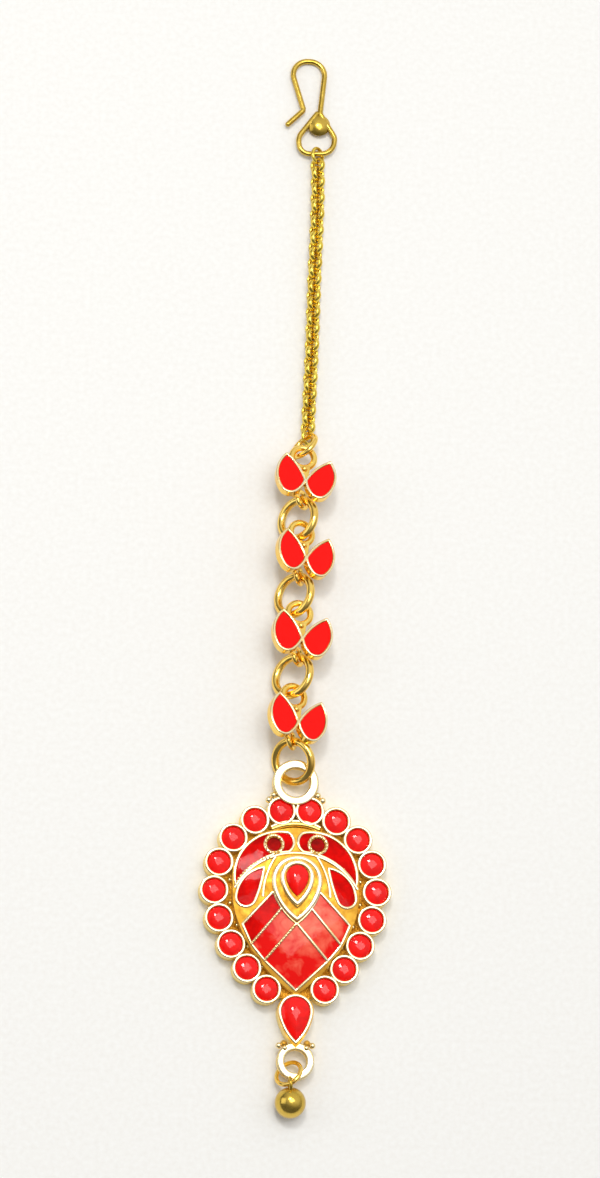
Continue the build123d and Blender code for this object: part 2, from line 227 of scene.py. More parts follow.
def grown(
    source: bpy.types.Object, tree: bpy.types.NodeTree, inputs: dict[str, Any]
) -> bpy.types.Object:
    """Runs a Geometry Nodes tree on an object and keeps the result as a plain mesh.

    Args:
        source: the object that carries the tree's starting geometry; it is removed.
        tree: the Geometry Nodes tree.
        inputs: values for the tree's named inputs.

    Returns:
        The new mesh object, under the source's name.
    """
    name = source.name
    source.name = name + "_seed"
    modifier = source.modifiers.new("grow", "NODES")
    modifier.node_group = tree
    for item in tree.interface.items_tree:
        if item.item_type == "SOCKET" and item.in_out == "INPUT" and item.name in inputs:
            modifier[item.identifier] = inputs[item.name]
    source.data.update_tag()
    depsgraph = bpy.context.evaluated_depsgraph_get()
    mesh = bpy.data.meshes.new_from_object(source.evaluated_get(depsgraph))
    source.modifiers.remove(modifier)
    bpy.data.objects.remove(source)
    mesh.name = name
    return mesh_object(name, mesh)


def shade_smooth(obj: bpy.types.Object) -> None:
    """Shades every face of a mesh smoothly."""
    obj.data.polygons.foreach_set("use_smooth", [True] * len(obj.data.polygons))


def merged_copy(node: str) -> bmesh.types.BMesh:
    """Makes a closed working copy of a CAD node's mesh; the node itself is left alone.

    Args:
        node: the CAD node's name.

    Returns:
        The copy, with its doubles merged.
    """
    work = bmesh.new()
    work.from_mesh(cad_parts[node].data)
    bmesh.ops.remove_doubles(work, verts=work.verts, dist=MERGE_DISTANCE)
    return work


def enamel_outline(node: str, outward: float, rise: float) -> list[Vector]:
    """Runs a line round the face of an enamel piece.

    Args:
        node: the enamel's CAD node.
        outward: distance of the line from the enamel's edge, in metres.
        rise: height of the line over that edge, in metres.

    Returns:
        The corners of the closed line.
    """
    work = merged_copy(node)
    work.normal_update()
    face_up = [f for f in work.faces if f.normal.z > FACE_UP]
    normal = sum((f.normal * f.calc_area() for f in face_up), Vector()).normalized()
    inside = set(face_up)
    rim = [e for e in work.edges if sum(f in inside for f in e.link_faces) == 1]
    ways: dict[bmesh.types.BMVert, list[bmesh.types.BMVert]] = {}
    for edge in rim:
        first, second = edge.verts
        ways.setdefault(first, []).append(second)
        ways.setdefault(second, []).append(first)
    start = next(iter(ways))
    loop, here, last = [start], ways[start][0], start
    while here is not start:
        loop.append(here)
        onward = [v for v in ways[here] if v is not last]
        last, here = here, onward[0]
    points = [v.co.copy() for v in loop]
    work.free()
    area = sum((a.cross(b) for a, b in zip(points, points[1:] + points[:1])), Vector())
    if area.dot(normal) < 0:
        points.reverse()
    count = len(points)
    sides = [(points[(n + 1) % count] - points[n]).cross(normal).normalized() for n in range(count)]
    line = []
    for n in range(count):
        before, after = sides[n - 1], sides[n]
        mitre = (before + after) / max(1.0 + before.dot(after), LEAST_MITRE)
        line.append(points[n] + mitre * outward + normal * rise)
    return line


# ------------------------------------------------------------------ finishes
@dataclass(frozen=True)
class GoldPlate:
    """Gold plating over a metal body: a strong yellow mirror, softened by how the body was made."""

    name: str
    colour: str
    shade: str
    roughness: float
    peel_mm: float = 0.35  # width of the faint waves of the surface under the plating
    peel_depth_mm: float = 0.05
    peel_strength: float = 0.12
    scratch_mm: float = 0.05  # coarser than the real hairlines, so that it shows
    scratch_depth_mm: float = 0.01
    scratch_strength: float = 0.05
    edge_mm: float = 0.07  # radius to which tumbling rounds the sharp edges
    wear_mm: float = 2.4  # size of the patches where the plating is thinner and browner
    wear_range: tuple[float, float] = (0.32, 0.62)
    touch_mm: float = 0.9  # size of the patches that handling has dulled
    touch_range: tuple[float, float] = (0.3, 0.7)
    touch_gain: tuple[float, float] = (0.7, 1.5)  # least and greatest share of the roughness
    ground_mm: float = 0.0  # height under which the up-facing casting is stippled and tinted browner
    ground_blend_mm: float = 0.15  # height over which the ground turns into polished metal
    ground_colour: str = "#D99C34"
    stipple_mm: float = 0.3  # spacing of the punch marks, drawn coarse enough to show
    stipple_depth_mm: float = 0.12
    painted_wall_light: str = ""  # painted light: a paler tint for the upright sides than for the face

    def material(self) -> bpy.types.Material:
        """Builds the metal: tint by wear, dulling by handling, a stippled, browner low ground, paler
        upright sides as painted light, and fine waves.

        Returns:
            The material.
        """
        material, tree = blank_material(self.name)
        coordinates = add_node(tree, "ShaderNodeTexCoord").outputs
        place = coordinates["Object"]
        wear, touch, waves, scratches = (
            add_node(
                tree,
                "ShaderNodeTexNoise",
                sockets={
                    "Vector": place,
                    "Scale": per_metre(size_mm),
                    "Detail": detail,
                    "Roughness": grain,
                },
            ).outputs["Fac"]
            for size_mm, detail, grain in (
                (self.wear_mm, 4.0, 0.6),
                (self.touch_mm, 5.0, 0.65),
                (self.peel_mm, 2.0, 0.5),
                (self.scratch_mm, 3.0, 0.5),
            )
        )
        tint = add_node(
            tree,
            "ShaderNodeValToRGB",
            sockets={"Fac": wear},
            stops=tuple(zip(self.wear_range, (linear(self.shade), linear(self.colour)))),
        ).outputs["Color"]
        low = add_node(
            tree,
            "ShaderNodeMapRange",
            sockets={
                "Value": add_node(tree, "ShaderNodeSeparateXYZ", sockets={0: place}).outputs["Z"],
                "From Min": self.ground_mm * MM,
                "From Max": self.ground_mm * MM + self.ground_blend_mm * MM,
                "To Min": 1.0,
                "To Max": 0.0,
            },
        ).outputs["Result"]
        upward = add_node(
            tree, "ShaderNodeSeparateXYZ", sockets={0: coordinates["Normal"]}
        ).outputs["Z"]
        sunk = add_node(
            tree,
            "ShaderNodeMath",
            {"operation": "MULTIPLY", "use_clamp": True},
            {0: low, 1: upward},
        ).outputs[0]
        # the low, up-facing ground is tinted browner
        tint = add_node(
            tree,
            "ShaderNodeMix",
            {"data_type": "RGBA"},
            {"Factor": sunk, 6: tint, 7: linear(self.ground_colour)},
        ).outputs[2]
        # painted light: the upright sides take the paler tint
        if self.painted_wall_light:
            tint = add_node(
                tree,
                "ShaderNodeMix",
                {"data_type": "RGBA"},
                {"Factor": upward, 6: linear(self.painted_wall_light), 7: tint},
            ).outputs[2]
        rough = add_node(
            tree,
            "ShaderNodeMapRange",
            sockets={
                "Value": touch,
                "From Min": self.touch_range[0],
                "From Max": self.touch_range[1],
                "To Min": self.roughness * self.touch_gain[0],
                "To Max": self.roughness * self.touch_gain[1],
            },
        ).outputs["Result"]
        stipple = add_node(
            tree,
            "ShaderNodeTexVoronoi",
            sockets={"Vector": place, "Scale": per_metre(self.stipple_mm)},
        ).outputs["Distance"]
        normal = add_node(
            tree, "ShaderNodeBevel", {"samples": 4}, {"Radius": self.edge_mm * MM}
        ).outputs["Normal"]
        for height, depth_mm, strength, pressed in (
            (stipple, self.stipple_depth_mm, sunk, True),
            (waves, self.peel_depth_mm, self.peel_strength, False),
            (scratches, self.scratch_depth_mm, self.scratch_strength, False),
        ):
            normal = add_node(
                tree,
                "ShaderNodeBump",
                {"invert": pressed},
                {
                    "Strength": strength,
                    "Distance": depth_mm * MM,
                    "Height": height,
                    "Normal": normal,
                },
            ).outputs["Normal"]
        shader = add_node(
            tree,
            "ShaderNodeBsdfPrincipled",
            sockets={"Base Color": tint, "Metallic": 1.0, "Roughness": rough, "Normal": normal},
        )
        add_node(tree, "ShaderNodeOutputMaterial", sockets={"Surface": shader.outputs["BSDF"]})
        return material


@dataclass(frozen=True)
class ColdEnamel:
    """Cured resin enamel: a clear gloss over a pigment that settles a little unevenly; in one finish
    the pale clouds are painted reflection.
    """

    name: str
    bright: str
    deep: str
    cloud_mm: float = 1.3
    gloss: float = 0.035
    gloss_gain: tuple[float, float] = (0.6, 1.6)  # least and greatest share of the gloss
    skin_mm: float = 0.8  # width of the waves that the resin cured with
    skin_depth_mm: float = 0.08
    skin_strength: float = 0.08
    edge_mm: float = 0.12  # radius of the resin's edge in its cell
    sheen: float = 0.16
    clouds: tuple[float, float] = (0.36, 0.6)  # where the deep colour ends and the bright begins
    reflection_spot_mm: tuple[float, float, float] | None = None  # painted reflection: where the resin is painted palest
    reflection_reach_mm: float = 8.0
    reflection_gain: tuple[float, float] = (0.26, -0.14)  # at the spot and at its reach

    def material(self) -> bpy.types.Material:
        """Builds the enamel: pigment clouds, with an optional pale spot of painted reflection, under
        a slightly wavy skin.

        Returns:
            The material.
        """
        material, tree = blank_material(self.name)
        place = add_node(tree, "ShaderNodeTexCoord").outputs["Object"]
        cloud = add_node(
            tree,
            "ShaderNodeTexNoise",
            sockets={
                "Vector": place,
                "Scale": per_metre(self.cloud_mm),
                "Detail": 3.0,
                "Roughness": 0.55,
                "Distortion": 0.4,
            },
        ).outputs["Fac"]
        depth = cloud
        # painted reflection: the colour pales towards a given spot
        if self.reflection_spot_mm:
            away = add_node(
                tree,
                "ShaderNodeVectorMath",
                {"operation": "DISTANCE"},
                {0: place, 1: Vector(self.reflection_spot_mm) * MM},
            ).outputs["Value"]
            paler = add_node(
                tree,
                "ShaderNodeMapRange",
                sockets={
                    "Value": away,
                    "From Max": self.reflection_reach_mm * MM,
                    "To Min": self.reflection_gain[0],
                    "To Max": self.reflection_gain[1],
                },
            ).outputs["Result"]
            depth = add_node(
                tree, "ShaderNodeMath", {"operation": "ADD"}, {0: cloud, 1: paler}
            ).outputs[0]
        # in the finish for the crown of the motif, the pale end of the clouds is painted reflection
        pigment = add_node(
            tree,
            "ShaderNodeValToRGB",
            sockets={"Fac": depth},
            stops=tuple(zip(self.clouds, (linear(self.deep), linear(self.bright)))),
        ).outputs["Color"]
        skin = add_node(
            tree,
            "ShaderNodeTexNoise",
            sockets={"Vector": place, "Scale": per_metre(self.skin_mm), "Detail": 1.0},
        ).outputs["Fac"]
        rounded = add_node(
            tree, "ShaderNodeBevel", {"samples": 4}, {"Radius": self.edge_mm * MM}
        ).outputs["Normal"]
        normal = add_node(
            tree,
            "ShaderNodeBump",
            sockets={
                "Strength": self.skin_strength,
                "Distance": self.skin_depth_mm * MM,
                "Height": skin,
                "Normal": rounded,
            },
        ).outputs["Normal"]
        gloss = add_node(
            tree,
            "ShaderNodeMapRange",
            sockets={
                "Value": cloud,
                "To Min": self.gloss * self.gloss_gain[0],
                "To Max": self.gloss * self.gloss_gain[1],
            },
        ).outputs["Result"]
        shader = add_node(
            tree,
            "ShaderNodeBsdfPrincipled",
            sockets={
                "Base Color": pigment,
                "Roughness": gloss,
                "IOR": 1.5,
                "Specular IOR Level": self.sheen,
                "Normal": normal,
            },
        )
        add_node(tree, "ShaderNodeOutputMaterial", sockets={"Surface": shader.outputs["BSDF"]})
        return material


@dataclass(frozen=True)
class CardFloor:
    """Matt white card under the piece."""

    name: str = "matt_white_card"
    colour: str = "#F4F3EF"
    shade: str = "#EFEDE8"
    mottle_mm: float = 0.6
    mottle_range: tuple[float, float] = (0.3, 0.7)

    def material(self) -> bpy.types.Material:
        """Builds the card: matt and faintly mottled, as pressed paper is.

        Returns:
            The material.
        """
        material, tree = blank_material(self.name)
        place = add_node(tree, "ShaderNodeTexCoord").outputs["Object"]
        mottle = add_node(
            tree,
            "ShaderNodeTexNoise",
            sockets={"Vector": place, "Scale": per_metre(self.mottle_mm), "Detail": 4.0},
        ).outputs["Fac"]
        tint = add_node(
            tree,
            "ShaderNodeValToRGB",
            sockets={"Fac": mottle},
            stops=tuple(zip(self.mottle_range, (linear(self.shade), linear(self.colour)))),
        ).outputs["Color"]
        shader = add_node(
            tree, "ShaderNodeBsdfPrincipled", sockets={"Base Color": tint, "Roughness": 0.9}
        )
        add_node(tree, "ShaderNodeOutputMaterial", sockets={"Surface": shader.outputs["BSDF"]})
        return material


class Finish(Enum):
    """The finishes of the piece."""

    # tumbled and polished: a soft yellow mirror with few dark edges
    CAST = GoldPlate("gold_plated_casting_polished", "#FFDA74", "#F3C25C", roughness=0.11)
    # the pendant casting, punched with a stippling tool between the fields: a dull ground, its face
    # painted a deeper, browner gold as painted shade and its upright sides a paler gold as painted
    # light
    PLATE = GoldPlate(
        "gold_plated_casting_stippled_painted_shade",
        "#DCA63C",
        "#BC8424",
        roughness=0.46,
        ground_mm=1.35,
        painted_wall_light="#FFE696",
    )
    # bright-cut rims, lines, beads and granules: a near-white gold, a painted highlight that makes
    # them read white where they face the light
    PAINTED_HIGHLIGHT = GoldPlate(
        "gold_plated_rim_painted_highlight",
        "#FFF0C8",
        "#FFE3A0",
        roughness=0.14,
        peel_strength=0.05,
        edge_mm=0.03,
    )
    # drawn through a die and bent: a little greener, with soft waves
    WIRE = GoldPlate(
        "gold_plated_drawn_wire",
        "#DCBA56",
        "#C09E3A",
        roughness=0.2,
        peel_mm=0.5,
        peel_strength=0.2,
    )
    # thin wire in tight links: smooth, so that each link has its own bright tick
    CHAIN = GoldPlate(
        "gold_plated_chain_wire", "#F8DC60", "#E2BE48", roughness=0.18, peel_strength=0.04
    )
    # poured flush and cured: an even, glossy scarlet
    ENAMEL = ColdEnamel("cold_enamel_scarlet", "#FF0A02", "#F00802")
    # overfilled, so that the resin stands up in a dome: one round highlight
    ENAMEL_DOMED = ColdEnamel("cold_enamel_scarlet_domed", "#FF0A02", "#E80602", sheen=0.36)
    # painted shade: a darker red, with little shine, for fields that are sunk and turned away from
    # the light
    ENAMEL_PAINTED_SHADE = ColdEnamel(
        "cold_enamel_scarlet_painted_shade", "#E60803", "#B80503", cloud_mm=2.4, sheen=0.06
    )
    # painted shade: a dark crimson for the enamel in the eyes' small round cells
    ENAMEL_EYE = ColdEnamel("cold_enamel_scarlet_eye_painted_shade", "#B20603", "#7C0402", sheen=0.1)
    # painted reflection: pale coral clouds over the crown of the motif, palest towards one spot
    ENAMEL_PAINTED_REFLECTION = ColdEnamel(
        "cold_enamel_scarlet_painted_reflection",
        "#FF7A5E",
        "#EC0A04",
        cloud_mm=2.2,
        clouds=(0.42, 0.74),
        reflection_spot_mm=(1.0, -44.5, 2.5),
    )

    def __init__(self, recipe: GoldPlate | ColdEnamel) -> None:
        """Keeps the recipe; the material is built at its first use."""
        self.recipe = recipe
        self.made: bpy.types.Material | None = None

    @property
    def material(self) -> bpy.types.Material:
        """Builds the material at its first use and keeps it.

        Returns:
            The one Blender material of this finish.
        """
        if self.made is None:
            self.made = self.recipe.material()
        return self.made


# ------------------------------------------------------------------ Geometry Nodes trees
def tree_with_inputs(
    name: str, inputs: Iterable[tuple[str, str, Any]]
) -> tuple[bpy.types.NodeTree, bpy.types.Node]:
    """Starts a Geometry Nodes tree.

    Args:
        name: the tree's name.
        inputs: name, socket type and default of each input after the geometry.

    Returns:
        The tree and its Group Input node.
    """
    tree = bpy.data.node_groups.new(name, "GeometryNodeTree")
    tree.interface.new_socket("Geometry", in_out="INPUT", socket_type="NodeSocketGeometry")
    for label, kind, default in inputs:
        socket = tree.interface.new_socket(label, in_out="INPUT", socket_type=kind)
        if default is not None:
            socket.default_value = default
    tree.interface.new_socket("Geometry", in_out="OUTPUT", socket_type="NodeSocketGeometry")
    return tree, add_node(tree, "NodeGroupInput")


def close_tree(
    tree: bpy.types.NodeTree, group: bpy.types.Node, shape: bpy.types.NodeSocket
) -> None:
    """Ends a tree in smooth, real geometry with its material.

    Args:
        tree: the tree.
        group: its Group Input node, which has the material.
        shape: the output socket of the finished geometry.
    """
    solid = add_node(tree, "GeometryNodeRealizeInstances", sockets={"Geometry": shape})
    smooth = add_node(
        tree, "GeometryNodeSetShadeSmooth", sockets={"Geometry": solid.outputs["Geometry"]}
    )
    painted = add_node(
        tree,
        "GeometryNodeSetMaterial",
        sockets={"Geometry": smooth.outputs["Geometry"], "Material": group.outputs["Material"]},
    )
    add_node(tree, "NodeGroupOutput", sockets={0: painted.outputs["Geometry"]})


def milgrain_tree() -> bpy.types.NodeTree:
    """Sets a row of small round beads along a curve, each a little different in size.

    Returns:
        The tree.
    """
    tree, group = tree_with_inputs(
        "milgrain_row",
        (
            ("Spacing", "NodeSocketFloat", 0.0003),
            ("Bead Radius", "NodeSocketFloat", 0.00013),
            ("Unevenness", "NodeSocketFloat", 0.12),
            ("Seed", "NodeSocketInt", 7),
            ("Material", "NodeSocketMaterial", None),
        ),
    )
    spots = add_node(
        tree,
        "GeometryNodeResampleCurve",
        {"mode": "LENGTH"},
        {"Curve": group.outputs["Geometry"], "Length": group.outputs["Spacing"]},
    )
    bead = add_node(
        tree,
        "GeometryNodeMeshIcoSphere",
        sockets={"Radius": group.outputs["Bead Radius"], "Subdivisions": 3},
    )
    low = add_node(
        tree, "ShaderNodeMath", {"operation": "SUBTRACT"}, {0: 1.0, 1: group.outputs["Unevenness"]}
    )
    high = add_node(
        tree, "ShaderNodeMath", {"operation": "ADD"}, {0: 1.0, 1: group.outputs["Unevenness"]}
    )
    size = add_node(
        tree,
        "FunctionNodeRandomValue",
        {"data_type": "FLOAT"},
        {2: low.outputs[0], 3: high.outputs[0], "Seed": group.outputs["Seed"]},
    )
    row = add_node(
        tree,
        "GeometryNodeInstanceOnPoints",
        sockets={
            "Points": spots.outputs["Curve"],
            "Instance": bead.outputs["Mesh"],
            "Scale": size.outputs[1],
        },
    )
    close_tree(tree, group, row.outputs["Instances"])
    return tree


def granule_tree() -> bpy.types.NodeTree:
    """Sets one soldered granule on each point, sized by the point's grain_size attribute.

    Returns:
        The tree.
    """
    tree, group = tree_with_inputs(
        "granules",
        (("Granule Radius", "NodeSocketFloat", 0.0003), ("Material", "NodeSocketMaterial", None)),
    )
    ball = add_node(
        tree,
        "GeometryNodeMeshUVSphere",
        sockets={"Segments": 20, "Rings": 12, "Radius": group.outputs["Granule Radius"]},
    )
    size = add_node(
        tree, "GeometryNodeInputNamedAttribute", {"data_type": "FLOAT"}, {"Name": "grain_size"}
    )
    grains = add_node(
        tree,
        "GeometryNodeInstanceOnPoints",
        sockets={
            "Points": group.outputs["Geometry"],
            "Instance": ball.outputs["Mesh"],
            "Scale": size.outputs["Attribute"],
        },
    )
    close_tree(tree, group, grains.outputs["Instances"])
    return tree


@cache
def wire_tree() -> bpy.types.NodeTree:
    """Lays a wire of oval section flat along a curve, with closed ends; made once for all wires.

    Returns:
        The tree.
    """
    tree, group = tree_with_inputs(
        "laid_wire",
        (
            ("Half Width", "NodeSocketFloat", 0.0002),
            ("Half Height", "NodeSocketFloat", 0.00012),
            ("Material", "NodeSocketMaterial", None),
        ),
    )
    level = add_node(
        tree,
        "GeometryNodeSetCurveNormal",
        {"mode": "Z_UP"},
        {"Curve": group.outputs["Geometry"]},
    )
    section = add_node(
        tree, "GeometryNodeCurvePrimitiveCircle", sockets={"Resolution": 12, "Radius": 1.0}
    )
    section_size = add_node(
        tree,
        "ShaderNodeCombineXYZ",
        sockets={
            "X": group.outputs["Half Width"],
            "Y": group.outputs["Half Height"],
            "Z": 1.0,
        },
    )
    oval = add_node(
        tree,
        "GeometryNodeTransform",
        sockets={"Geometry": section.outputs["Curve"], "Scale": section_size.outputs[0]},
    )
    tube = add_node(
        tree,
        "GeometryNodeCurveToMesh",
        sockets={
            "Curve": level.outputs["Curve"],
            "Profile Curve": oval.outputs["Geometry"],
            "Fill Caps": True,
        },
    )
    close_tree(tree, group, tube.outputs["Mesh"])
    return tree


# ------------------------------------------------------------------ laid wires and their sizes
class Wire(NamedTuple):
    """Oval section of a laid wire."""

    half_width: float
    half_height: float


class Drop(NamedTuple):
    """Outline of a drop that points down."""

    y: float  # middle of its round end
    radius: float
    reach: float  # from that middle to the tip
    height: float


class RingFace(NamedTuple):
    """Pale band laid on a flat ring, as its painted highlight."""

    y: float
    radius: float
    height: float
    half_width: float


class Grain(NamedTuple):
    """One soldered granule."""

    x: float
    y: float
    z: float
    radius: float


def lay_wire(
    name: str, runs: Sequence[Sequence[Vector]], wire: Wire, finish: Finish, closed: bool = True
) -> None:
    """Lays wires of one section along runs of points, as one plated piece.

    Args:
        name: the piece's name.
        runs: points in metres, one run for each wire.
        wire: the section.
        finish: the wires' finish.
        closed: whether each run comes back to its start.
    """
    wires = grown(
        polyline_object(name, runs, closed=closed),
        wire_tree(),
        {
            "Half Width": wire.half_width * MM,
            "Half Height": wire.half_height * MM,
            "Material": finish.material,
        },
    )
    settle(wires, "gold_plate")


# ------------------------------------------------------------------ sub-assemblies
@dataclass
class HookAndEye:
    """The bent wire hook with its soldered eye."""

    node: str = "hook"

    def build(self) -> None:
        """Dresses the wire; its shape is the frame's own."""
        dress_node(self.node, Finish.WIRE.material)
        log.info("hook dressed")


@dataclass
class Chain:
    """Belcher chain between the hook's eye and the first ring."""

    node: str = "chain"
    band_widening: float = 1.6  # a belcher link is a band, wider along its axis than its wire
    rest_height: float = 0.01  # the bands are pressed flat where they lie

    def loose_links(self, work: bmesh.types.BMesh) -> list[list[bmesh.types.BMVert]]:
        """Sorts the chain's points by link, from the hook down.

        Args:
            work: the chain's mesh, with its doubles merged.

        Returns:
            The points of each link.
        """
        unseen = set(work.verts)
        links = []
        for start in work.verts:
            if start not in unseen:
                continue
            unseen.remove(start)
            link, front = [], [start]
            while front:
                vertex = front.pop()
                link.append(vertex)
                for edge in vertex.link_edges:
                    other = edge.other_vert(vertex)
                    if other in unseen:
                        unseen.remove(other)
                        front.append(other)
            links.append(link)
        return sorted(links, key=lambda link: -sum(v.co.y for v in link) / len(link))

    def build(self) -> None:
        """Widens each link's band along its own axis; the end links keep their round wire."""
        work = merged_copy(self.node)
        for link in self.loose_links(work)[1:-1]:
            points = np.array([v.co[:] for v in link])
            centre = points.mean(axis=0)
            axis = np.linalg.eigh(np.cov((points - centre).T))[1][:, 0]
            wider = points + np.outer((points - centre) @ axis, axis) * (self.band_widening - 1.0)
            for vertex, place in zip(link, wider):
                vertex.co = (place[0], place[1], max(place[2], self.rest_height * MM))
        mesh = bpy.data.meshes.new("belcher_chain")
        work.to_mesh(mesh)
        work.free()
        chain = mesh_object("belcher_chain", mesh)
        shade_smooth(chain)
        dress(chain, Finish.CHAIN.material)
        settle(chain, "wire_gold", self.node)


@dataclass
class WireRings:
    """The round wire rings that join the pieces."""

    heavy: tuple[str, ...] = tuple(f"connector_ring_{n}" for n in range(1, 5))
    light: tuple[str, ...] = ("chain_ring", "drop_ring")

    def build(self) -> None:
        """Dresses the rings; their shapes are the frame's own."""
        for name in (*self.heavy, *self.light):
            dress_node(name, Finish.CAST.material)
        log.info("%d rings dressed", len(self.heavy) + len(self.light))


@dataclass
class ButterflyLinks:
    """The four cast links with two enamelled cups each."""

    count: int = 4
    rim_wire: Wire = Wire(0.15, 0.11)
    rim_outward: float = 0.19
    rim_rise: float = 0.0

    def build(self) -> None:
        """Dresses castings and enamel and rounds the rims of the cups."""
        rims = []
        for number in range(1, self.count + 1):
            dress_node(f"butterfly_{number}", Finish.CAST.material)
            for side in ("left", "right"):
                name = f"wing_enamel_{number}_{side}"
                dress_node(name, Finish.ENAMEL.material)
                rims.append(enamel_outline(name, self.rim_outward * MM, self.rim_rise * MM))
        # the wing rims are painted near-white, as painted highlight
        lay_wire("wing_rims", rims, self.rim_wire, Finish.PAINTED_HIGHLIGHT)


@dataclass
class Pendant:
    """The cast pendant: cups, domed motif, stepped drop, tail cup and their trimmings."""

    cups: int = 18
    middle_y: float = -42.5
    dome_radius: float = 45.0  # the motif's face is a cap of this sphere
    dome_top: float = 3.3
    dome_y: float = -43.0
    bead_radius: float = 0.17
    bead_spacing: float = 0.42
    bead_rise: float = 0.16
    line_wire: Wire = Wire(0.19, 0.12)  # raised line round a field
    line_outward: float = 0.15
    line_rise: float = 0.08
    cup_wire: Wire = Wire(0.2, 0.12)  # rounded rim of a cup
    cup_outward: float = 0.22
    cup_rise: float = 0.19
    tail_rise: float = 0.0
    cup_swell: float = 0.3  # how far the resin stands over its edge
    cup_drift: float = 0.3  # how far it ran outward before it cured
    drop_swell: float = 0.4
    tail_swell: float = 0.5
    dome_steps: int = 10
    eye: Point = (2.75, -35.2)
    eye_ring: float = 1.08
    heart: Drop = Drop(-39.9, 2.86, 4.78, 3.66)
    crown: Drop = Drop(-39.5, 1.84, 3.3, 3.92)
    heart_wire: Wire = Wire(0.3, 0.16)
    drop_shoulder: float = 12.0  # degrees by which a drop's round end runs past a half circle
    # fields painted a darker red, as painted shade
    painted_shade_fields: tuple[str, ...] = tuple(
        f"{name}_enamel_{side}" for name in ("crescent", "petal") for side in ("left", "right")
    ) + ("upper_band_enamel_left",)
    # fields painted with pale clouds, as painted reflection
    painted_reflection_fields: tuple[str, ...] = (
        "upper_band_enamel_right",
        "lower_band_enamel_left",
        "lower_band_enamel_right",
        "diamond_enamel",
    )
    ring_faces: tuple[RingFace, ...] = (
        RingFace(-27.3, 2.35, 2.33, 0.52),
        RingFace(-62.15, 1.87, 1.98, 0.45),
    )
    ring_face_height: float = 0.08  # half the thickness of a face
    seams: tuple[tuple[Point, Point], ...] = (
        ((-1.8, -43.2), (-5.6, -47.75)),
        ((-0.35, -45.5), (-3.95, -49.75)),
    )
    stem: tuple[Point, Point, Point] = ((-2.6, -36.8), (-3.75, -39.2), (-4.2, -41.9))
    arch: tuple[Point, Point, Point] = ((-7.7, -40.75), (0.0, -36.3), (7.7, -40.75))
    crescent_edge: tuple[Point, Point, Point] = ((-7.62, -40.35), (-5.9, -38.2), (-3.4, -36.9))
    brow: tuple[Point, Point, Point] = ((-3.1, -32.95), (0.0, -32.15), (3.1, -32.95))
    brow_rise: float = 0.12
    brow_core: tuple[Point, Point, Point] = ((-3.0, -33.2), (0.0, -32.5), (3.0, -33.2))
    brow_core_rise: float = -0.3
    brow_wire: Wire = Wire(0.42, 0.5)
    granules: tuple[Grain, ...] = (
        Grain(-3.4, -29.5, 2.0, 0.42),
        Grain(3.4, -29.5, 2.0, 0.42),
        Grain(-2.8, -28.9, 2.0, 0.42),
        Grain(2.8, -28.9, 2.0, 0.42),
        Grain(-2.1, -60.2, 1.85, 0.4),
        Grain(2.1, -60.2, 1.85, 0.4),
        Grain(-1.35, -60.5, 1.9, 0.36),
        Grain(1.35, -60.5, 1.9, 0.36),
    )
    nook_granule: float = 0.3
    nook_inward: float = 1.75
    nook_z: float = 1.35
    nook_reach: float = 4.2  # cups further apart than this have no nook between them

    @property
    def cup_nodes(self) -> list[str]:
        """Names of the cups' enamel, clockwise from the top."""
        return [f"cup_enamel_{number:02d}" for number in range(1, self.cups + 1)]

    def on_dome(self, point: Point, rise: float) -> Vector:
        """Point of the motif's domed face.

        Args:
            point: x and y.
            rise: height above the face.

        Returns:
            The place in metres.
        """
        x, y = point
        height = self.dome_top - self.dome_radius
        height += math.sqrt(self.dome_radius**2 - x * x - (y - self.dome_y) ** 2)
        return Vector((x, y, height + rise)) * MM

    def straight(self, start: Point, end: Point, steps: int = 12) -> list[Vector]:
        """Points of a straight seam laid on the dome.

        Args:
            start: x and y of its first end.
            end: x and y of its other end.
            steps: parts that it is divided into.

        Returns:
            The points in metres.
        """
        return [
            self.on_dome(
                (start[0] + (end[0] - start[0]) * t, start[1] + (end[1] - start[1]) * t),
                self.bead_rise,
            )
            for t in (n / steps for n in range(steps + 1))
        ]

    def circle(self, centre: Point, radius: float, steps: int = 48) -> list[Vector]:
        """Points of a circle laid on the dome.

        Args:
            centre: x and y of its middle.
            radius: its radius.
            steps: number of points.

        Returns:
            The points in metres.
        """
        return [
            self.on_dome(
                (
                    centre[0] + radius * math.cos(math.tau * n / steps),
                    centre[1] + radius * math.sin(math.tau * n / steps),
                ),
                self.bead_rise,
            )
            for n in range(steps)
        ]

    def arc(self, through: Sequence[Point], rise: float, steps: int = 32) -> list[Vector]:
        """Points of the arc through three points, laid at a height over the dome.

        Args:
            through: x and y of its start, of a point between, and of its end.
            rise: height over the dome.
            steps: parts that it is divided into.

        Returns:
            The points in metres.
        """
        (ax, ay), (bx, by), (cx, cy) = through
        d = 2 * (ax * (by - cy) + bx * (cy - ay) + cx * (ay - by))
        ux = ((ax * ax + ay * ay) * (by - cy) + (bx * bx + by * by) * (cy - ay)) / d
        ux += (cx * cx + cy * cy) * (ay - by) / d
        uy = ((ax * ax + ay * ay) * (cx - bx) + (bx * bx + by * by) * (ax - cx)) / d
        uy += (cx * cx + cy * cy) * (bx - ax) / d
        radius = math.hypot(ax - ux, ay - uy)
        first, mid, last = (math.atan2(y - uy, x - ux) for x, y in through)
        turn = (last - first) % math.tau
        if (mid - first) % math.tau > turn:
            turn -= math.tau
        return [
            self.on_dome(
                (
                    ux + radius * math.cos(first + turn * n / steps),
                    uy + radius * math.sin(first + turn * n / steps),
                ),
                rise,
            )
            for n in range(steps + 1)
        ]

    def both_sides(self, run: list[Vector]) -> list[list[Vector]]:
        """A run and its mirror image."""
        return [run, [Vector((-p.x, p.y, p.z)) for p in run]]

